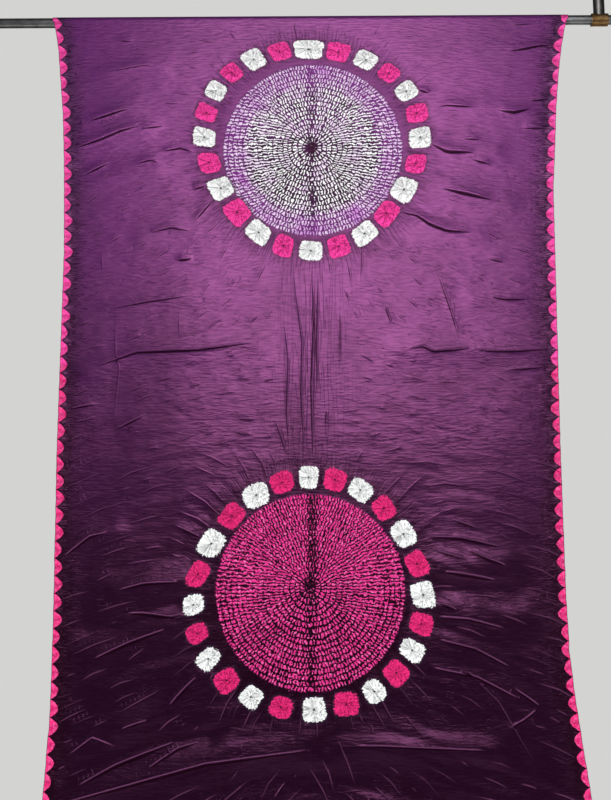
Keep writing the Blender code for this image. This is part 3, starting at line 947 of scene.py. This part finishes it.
gathering = ramp(noise(30.0, shift=61.0), 0.42, 0.62)
short_lines = pinched(0.034, 0.0062, 0.045) * gathering
crowded = ramp(edge, 0.075, 0.012)
edge_lines = pinched(0.028, 0.0042, 0.065, down=run, shift=9.0) * crowded
tall_lines = pinched(0.0075, 0.150, 0.040, down=run, shift=13.0) * is_upright * 0.45
across_share = (1.0 - is_upright * 0.9) * ramp(run, 0.1, 0.6, 0.55, 1.0)
pleat_lines = calc("MAXIMUM", short_lines * 0.55 * across_share, edge_lines)
pleat_lines = calc("MAXIMUM", pleat_lines, tall_lines)
fan_lines = pinched(0.060, 0.036, 0.055, along=from_centre, down=angle, shift=17.0)
fan_share = ramp(from_centre, 0.176, 0.19) * ramp(from_centre, 0.275, 0.21)
pleat_lines = calc("MAXIMUM", pleat_lines, fan_lines * fan_share * 0.7)

# masks of a crease's painted shadow slit and of the painted highlight on its raised lip
slit_shadow = ramp(abs(slit_at - slit_half * SLIT_SHIFT) - slit_half, -0.0008, 0.0004, 1.0, 0.0)
lip_line = ramp(abs(slit_at + (slit_half + LIP_AWAY)), 0.0, LIP_HALF_WIDTH, 1.0, 0.0)
lip_line = lip_line * ramp(slit_half, 0.0002, 0.0012) * ramp(run, 0.35, 1.2, 0.25, 1.25)

# %% Dye colours
GROUND = linear("#55225d")
GROUND_DEEP = linear("#190517")
GROUND_EDGE = linear("#241a30")
# near black: the edge band's dye near the hem, and painted shade in slits, pinched lines and the
# ring round each disc
DARK_INK_AND_SHADE = linear("#16040f")
# painted highlight along the crease lips
LIP_HIGHLIGHT = linear("#8f5484")
WHITE_CLOTH = linear("#eef0ef")
LILAC = linear("#c07ccb")
THREAD_GREY = linear("#5f6e68")
INK_GREY = linear("#241628")
INK_PURPLE = linear("#672670")
INK_BLACK = linear("#14030d")
PINK_UPPER = linear("#f0409a")
PINK_LOWER = linear("#e02c72")
PINK_DISC = linear("#d83384")
# a paler pink, painted as highlights on the puckered pink dashes and scallop pleats
PINK_HIGHLIGHT = linear("#ea6fae")
PINK_DEEP = linear("#8c0c48")

blotch = noise(9.0, 3.0, shift=17.0)
# the ground and its edge band darken from the top of the cloth down to the hem
ground = blend(ramp(run, 0.10, 1.20), GROUND, GROUND_DEEP)
edge_ink = blend(ramp(run, 0.25, 0.95), GROUND_EDGE, DARK_INK_AND_SHADE)
ground = blend(ramp(blotch, 0.4, 0.72) * 0.3, ground, edge_ink)
edge_dark = 1.0 - ramp(edge, 0.01, 0.05)
ground = blend(edge_dark * 0.75, ground, edge_ink)
ring_shade = ramp(from_centre, 0.16, 0.178) * ramp(from_centre, 0.255, 0.205)
ground = blend(ring_shade * (is_lower * 0.5 + 0.2), ground, DARK_INK_AND_SHADE)
# painted shade in the pinched lines
ground = blend(pleat_lines * 0.85, ground, DARK_INK_AND_SHADE)
# painted highlight along each crease's lip
ground = blend(calc("MULTIPLY", lip_line, 0.38, clamp=True), ground, LIP_HIGHLIGHT)

rim_zone = ramp(ring_at, 12.0, 15.5)
lilac_share = rim_zone * 0.45 + ramp(patchy, -0.05, 0.25) * 0.45
upper_bare = blend(lilac_share, WHITE_CLOTH, LILAC)
upper_part = rim_zone + ramp(up_share, -0.25, 0.35) * 0.45
ink_share = calc("MULTIPLY_ADD", noise(60.0, shift=21.0) - 0.5, 2.0, upper_part, clamp=True)
upper_ink = blend(ink_share, INK_GREY, INK_PURPLE)
upper_ink = blend(eye_pull, upper_ink, INK_BLACK)
upper_disc = blend(bare, upper_ink, upper_bare)
pink = blend(is_lower, PINK_UPPER, PINK_LOWER)
# paler pink flecks scattered by noise: painted highlights on the puckered dashes
lower_bare = blend(ramp(noise(210.0, 1.0, shift=25.0), 0.52, 0.66), PINK_DISC, PINK_HIGHLIGHT)
lower_disc = blend(bare, INK_BLACK, lower_bare)
disc_colour = blend(is_lower, upper_disc, lower_disc)
colour = blend(in_disc_mask, ground, disc_colour)

# %% [markdown]
# ### Tied patches and the scalloped border
# A tied patch keeps a clean, slightly ragged square, with fine dark pleats that run to the
# dot where the thread sat, and a dark rim round it. The border is made the same way along
# the folded edge, which gives half shapes.

# %% Patches
teeth = noise(260.0, shift=31.0) - 0.5
ragged = reach + teeth * (is_lower * 0.2 + 0.32)
patch_mask = 1.0 - ramp(ragged, 0.95, 1.03)
halo = 1.0 - ramp(ragged, 1.02, 1.34)
patch_radius = calc("SQRT", in_u * in_u + in_w * in_w)
unit = calc("MAXIMUM", patch_radius, 0.0005)
spoke_place = add_node(tree, "CombineXYZ",
                       (in_u / unit * 2.6, in_w / unit * 2.6, patch_radius * 45.0 + x * 40.0))
spoke_noise = add_node(tree, "TexNoise", {"Vector": spoke_place, "Scale": 1.6, "Detail": 3.0})
spoke = ramp(abs(spoke_noise - 0.5), 0.0, 0.045, 1.0, 0.0) * ramp(patch_radius, 0.034, 0.01)
dot = 1.0 - ramp(patch_radius + teeth * 0.003, 0.0012, 0.0028)
flecks = ramp(noise(330.0, shift=71.0), 0.50, 0.66)
white_marks = calc("MAXIMUM", spoke, flecks * 0.1)
pink_marks = calc("MAXIMUM", spoke, flecks * 0.85)
white_patch = blend(white_marks * 0.8, WHITE_CLOTH, THREAD_GREY)
pink_patch = blend(pink_marks * 0.95, pink, PINK_DEEP)
patch_colour = blend(is_white, pink_patch, white_patch)
patch_colour = blend(dot * 0.9, patch_colour, INK_GREY)
front_only = calc("GREATER_THAN", run, 0.02)
colour = blend(halo * front_only * 0.75, colour, INK_GREY)
colour = blend(patch_mask * front_only, colour, patch_colour)

# %% Scallops
scallop_turn = run / SCALLOP_PITCH + calc("GREATER_THAN", x, 0.0) * 0.3 + wobble_a * 0.1
scallop_number = calc("FLOOR", scallop_turn)
scallop_off = calc("FRACT", scallop_turn) - 0.47
scallop_size = add_node(tree, "TexWhiteNoise", {"W": scallop_number}, noise_dimensions="1D")
scallop_size = scallop_size * 0.3 + 0.82
bulge = calc("POWER", abs(scallop_off) * 1.98, 1.7)
scallop_rise = calc("POWER", calc("SUBTRACT", 1.0, bulge, clamp=True), 0.85)
scallop_rise = scallop_rise * scallop_size * SCALLOP_DEPTH
over_edge = edge - scallop_rise + wobble_b * 0.004
scallop_mask = (1.0 - ramp(over_edge, -0.0007, 0.0006)) * ramp(edge, 0.0004, 0.0012)
scallop_halo = 1.0 - ramp(over_edge, 0.0005, 0.007)
scallop_pleats = ramp(noise(200.0, stretch=(1.0, 0.8, 1.0), shift=41.0), 0.42, 0.66)
# paler pink on the scallop pleats is a painted highlight
scallop_colour = blend(scallop_pleats * 0.5, pink, PINK_HIGHLIGHT)
scallop_core = (1.0 - ramp(abs(scallop_off), 0.02, 0.2)) * ramp(speckle, -0.25, 0.15)
scallop_colour = blend(scallop_core * 0.7, scallop_colour, PINK_DEEP)
colour = blend(scallop_halo * 0.85, colour, edge_ink)
colour = blend(scallop_mask, colour, scallop_colour)
# painted shadow in each crease's slit
colour = blend(slit_shadow * 0.92, colour, DARK_INK_AND_SHADE)
print("scallops every %.0f mm" % (1000 * SCALLOP_PITCH))

# %% [markdown]
# ### Surface
# The thread is far finer than a pixel, so only the crepe of the cloth is drawn: shallow
# ripples about 4 mm apart and 20 mm long, which also dull the gloss where they turn away.
# Puckers follow the dashes: a bare dash stands up between two pulled stitches. The gloss is
# weaker where the ties gathered the cloth and towards the hem, which hung in the dye longest.

# %% Relief too fine for the mesh, in millimetres
SATIN_IOR = 1.72
SHEEN_TINT = (0.93, 0.28, 0.71, 1.0)        # the gloss of dyed thread keeps its colour
CREPE_HEIGHT = 0.75
PLEAT_DEPTH = 0.35
DASH_HEIGHT = 0.80
SPOKE_DEPTH = 0.80

crepe = noise(230.0, stretch=(0.22, 1.0, 1.0), shift=57.0)
fine_relief = crepe * CREPE_HEIGHT - pleat_lines * PLEAT_DEPTH + lip_line
fine_relief = fine_relief * ((1.0 - patch_mask) * 0.7 + 0.3)
fine_relief = fine_relief + bare * in_disc_mask * DASH_HEIGHT - spoke * patch_mask * SPOKE_DEPTH
bump = add_node(tree, "Bump", {"Strength": 1.0, "Distance": 0.001, "Height": fine_relief})
gathered = ramp(from_centre, 0.250, 0.195)
tied = calc("MAXIMUM", in_disc_mask, patch_mask)
roughness = add_node(tree, "MapRange", (blotch, 0.3, 0.7, 0.30, 0.37)) + tied * 0.2
gloss = 1.0 - calc("MAXIMUM", slit_shadow, pleat_lines * 0.6) * 0.9
gloss = gloss * (1.0 - gathered * 0.42) * (1.0 - tied * 0.55)
gloss = gloss * ramp(crepe, 0.38, 0.62, 0.74, 1.0) * ramp(run, 0.95, 1.45, 1.0, 0.65)
set_inputs(tree, tree.nodes["Principled BSDF"], {
    "Base Color": colour, "Normal": bump, "Roughness": roughness, "IOR": SATIN_IOR,
    "Specular IOR Level": gloss, "Specular Tint": SHEEN_TINT})
sheet_mesh.materials.append(satin)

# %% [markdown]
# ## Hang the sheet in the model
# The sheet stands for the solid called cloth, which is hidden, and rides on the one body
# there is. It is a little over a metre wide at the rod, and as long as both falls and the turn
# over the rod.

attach(cloth, "root")
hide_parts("cloth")

# %% [markdown]
# ## Metal
# The rod is a drawn steel tube, zinc plated: pale grey, with faint draw lines along it and a
# few dull spots. The ring is cast brass, and the stem a grey steel turned part.

# %% Metal finishes


def metal(name, base, dull, rough_low, rough_high, stretch):
    """A metal whose colour and polish vary with noise drawn out along the way it was made."""
    made = new_material(name)
    nodes = made.node_tree
    surface = nodes.nodes["Principled BSDF"]
    where = add_node(nodes, "TexCoord", out="Object")
    drawn = add_node(nodes, "Mapping", {"Vector": where, "Scale": stretch})
    streaks = add_node(nodes, "TexNoise", {"Vector": drawn, "Scale": 1.0, "Detail": 4.0})
    cloudy = add_node(nodes, "TexNoise", {"Vector": where, "Scale": 45.0, "Detail": 3.0})
    share = add_node(nodes, "MapRange", (cloudy, 0.42, 0.68, 0.0, 1.0))
    tint = add_node(nodes, "Mix", {0: share, 6: linear(base), 7: linear(dull)}, out=2,
                    data_type="RGBA")
    polish = add_node(nodes, "MapRange", (streaks, 0.3, 0.7, rough_low, rough_high))
    lines = add_node(nodes, "Bump", {"Strength": 0.25, "Distance": 0.0002, "Height": streaks})
    set_inputs(nodes, surface, {"Base Color": tint, "Roughness": polish, "Normal": lines,
                                "Metallic": 1.0})
    return made


zinc_plated_steel = metal("zinc_plated_steel", "#b9babd", "#8f9092", 0.24, 0.42, (6, 900, 900))
cast_brass = metal("cast_brass", "#c9a06c", "#8a6238", 0.28, 0.46, (500, 500, 500))
turned_steel = metal("turned_steel", "#9a9896", "#6c6a69", 0.30, 0.48, (300, 300, 1400))
finishes = {"rod": zinc_plated_steel}
for side in ("right", "left"):
    finishes["hanger_%s_ring" % side] = cast_brass
    finishes["hanger_%s_stem" % side] = turned_steel
for name, finish in finishes.items():
    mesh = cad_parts[name].data
    mesh.materials.clear()
    mesh.materials.append(finish)

# %% [markdown]
# ## Light and floor
# The gloss of satin shows where light comes from. A long soft light high in front puts the
# purple sheen on the upper cloth, and two tall soft lights at the sides keep the white
# patches even down to the hem. The side lights add no gloss, as if they stood behind
# polarising filters. The floor is plain and pale, well below the hem.

# %% Lights


def soft_light(name, place_at, look_at, width, height, power):
    data = bpy.data.lights.new(name, "AREA")
    data.shape = "RECTANGLE"
    data.size = width
    data.size_y = height
    data.energy = power
    made = bpy.data.objects.new(name, data)
    made.location = place_at
    made.rotation_euler = (Vector(look_at) - Vector(place_at)).to_track_quat("-Z", "Y").to_euler()
    bpy.context.scene.collection.objects.link(made)
    return made


soft_light("sheen_light", (0.06, -1.35, 0.07), (0.06, 0.0, 0.07),
           width=0.95, height=1.5, power=15.5)
for side in (-1, 1):
    fill = soft_light("fill_light", (1.9 * side, -1.1, -1.85), (0.0, 0.0, -1.4),
                      width=0.8, height=1.2, power=53.0)
    fill.visible_glossy = False
soft_light("back_light", (0.3, 2.2, -0.3), (0.0, 0.0, -0.8), width=1.6, height=1.6, power=12.0)

# %% Floor and background
FLOOR_Z = ROD_TOP_Z - FRONT_FALL - 0.95
FLOOR_SIZE = 12.0
FLOOR_GLOW = 0.62                 # as the camera sees it; it lights nothing
SKY_LIGHT = 0.04                  # the strength that falls on the cloth
SKY_SEEN = 0.84                   # the strength behind the cloth

corners = [(side_x * FLOOR_SIZE / 2.0, side_y * FLOOR_SIZE / 2.0, FLOOR_Z)
           for side_x, side_y in ((-1, -1), (1, -1), (1, 1), (-1, 1))]
floor_mesh = bpy.data.meshes.new("floor")
floor_mesh.from_pydata(corners, [], [(0, 1, 2, 3)])
floor = bpy.data.objects.new("floor", floor_mesh)
bpy.context.scene.collection.objects.link(floor)
painted_floor = new_material("painted_floor")
floor_tree = painted_floor.node_tree
floor_seen = add_node(floor_tree, "LightPath", out="Is Camera Ray")
glow = add_node(floor_tree, "Math", (floor_seen, FLOOR_GLOW), operation="MULTIPLY")
set_inputs(floor_tree, floor_tree.nodes["Principled BSDF"], {
    "Base Color": linear("#a5a4a1"), "Roughness": 0.9, "Specular IOR Level": 0.0,
    "Emission Color": linear("#dedddb"), "Emission Strength": glow})
floor_mesh.materials.append(painted_floor)

world = bpy.data.worlds.new("studio")
world.use_nodes = True
bpy.context.scene.world = world
sky = world.node_tree
seen = add_node(sky, "LightPath", out="Is Camera Ray")
strength = add_node(sky, "MapRange", (seen, 0.0, 1.0, SKY_LIGHT, SKY_SEEN))
set_inputs(sky, sky.nodes["Background"], {"Color": linear("#e4e4e2"), "Strength": strength})
bpy.context.scene.view_settings.view_transform = "Standard"
